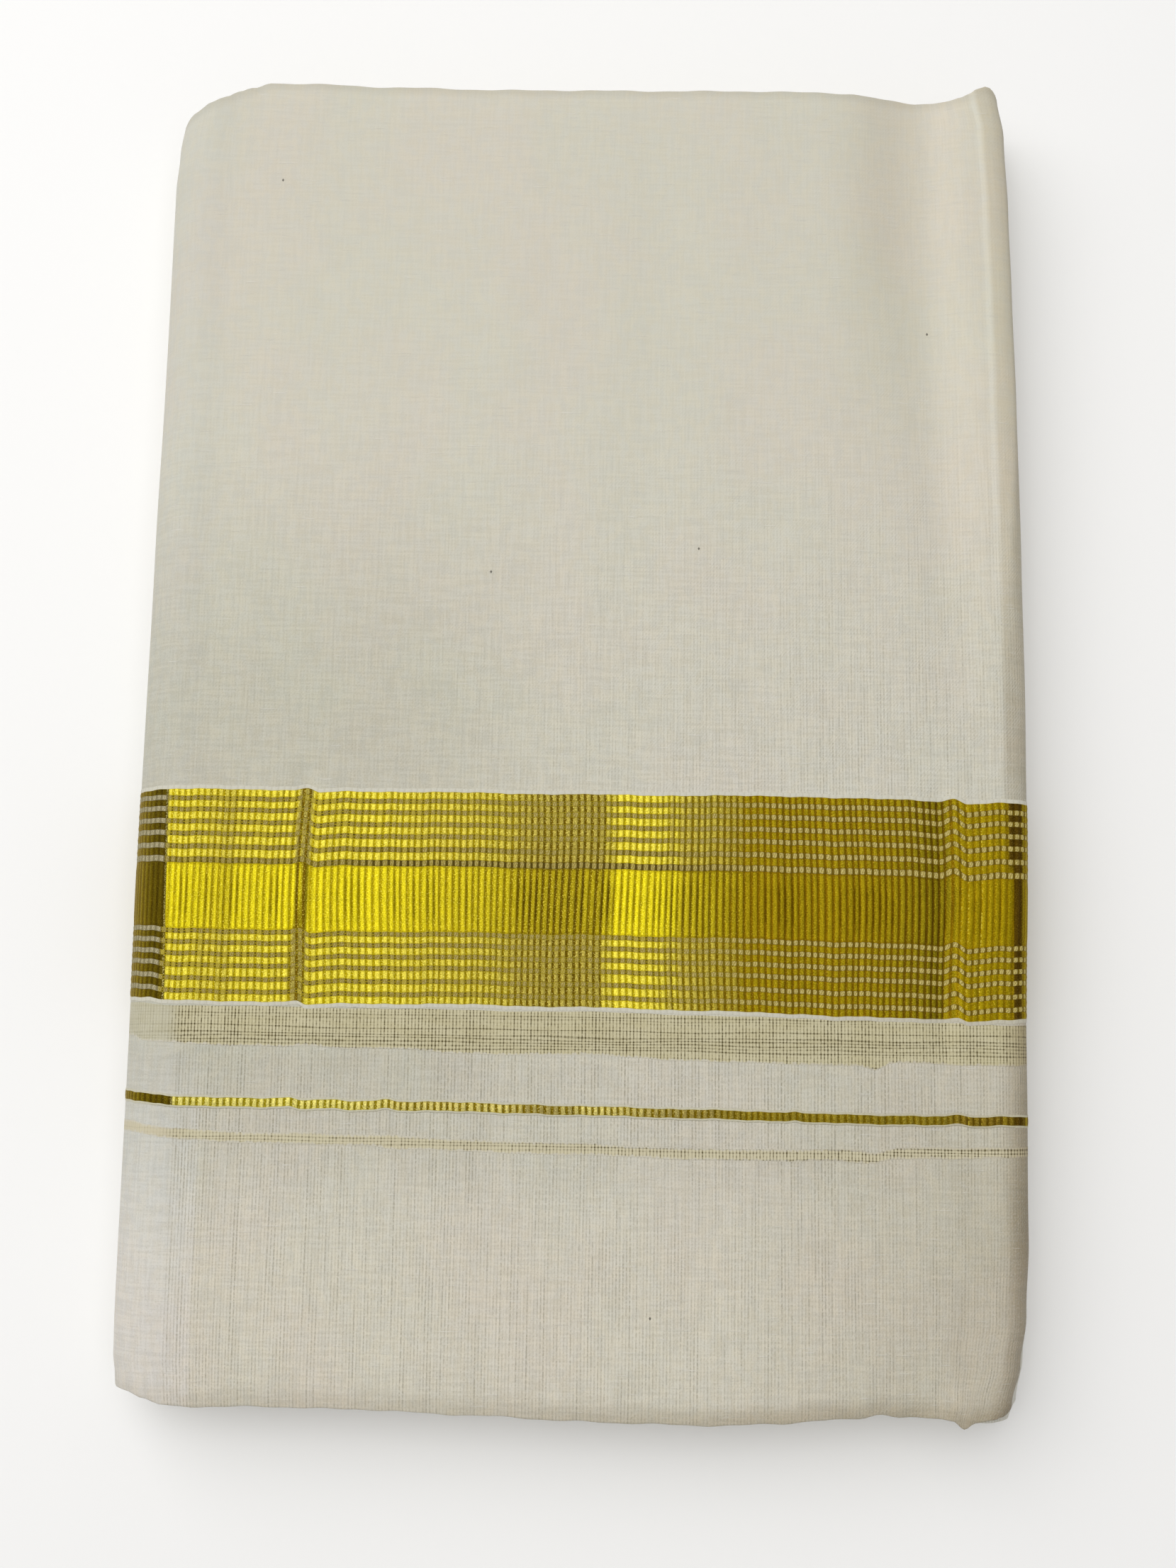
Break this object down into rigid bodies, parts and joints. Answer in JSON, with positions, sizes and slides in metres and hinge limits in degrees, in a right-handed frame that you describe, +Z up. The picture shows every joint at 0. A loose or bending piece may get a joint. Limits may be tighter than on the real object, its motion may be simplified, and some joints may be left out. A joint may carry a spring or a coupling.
{
  "type": "folded dhoti cloth",
  "caption": "Cotton dhoti folded flat into a closed bundle, with a woven gold border, a gold line and openwork stripes.",
  "frame": {"origin": "on the surface that the folded cloth lies on, under the middle of the bundle", "axes": "+X along the folded strip, from the tall spine to the flap's free end; +Y up the front, across the border; +Z up through the thickness, out of the front"},
  "size_m": [0.2135, 0.3236, 0.0268],
  "materials": {
    "cotton": "plain-woven unbleached cotton, matt",
    "cotton_folds": "the same cotton at the folded edges, matt",
    "zari": "ribbed gold metal thread woven with cotton, half sheen",
    "openwork": "open weave with tiny holes, matt"
  },
  "bodies": {
    "root": {"outer_cloth": "cotton", "inner_folds": "cotton_folds", "zari_border": "zari", "zari_line": "zari", "openwork_stripe_wide": "openwork", "openwork_stripe_narrow": "openwork"}
  },
  "joints": []
}
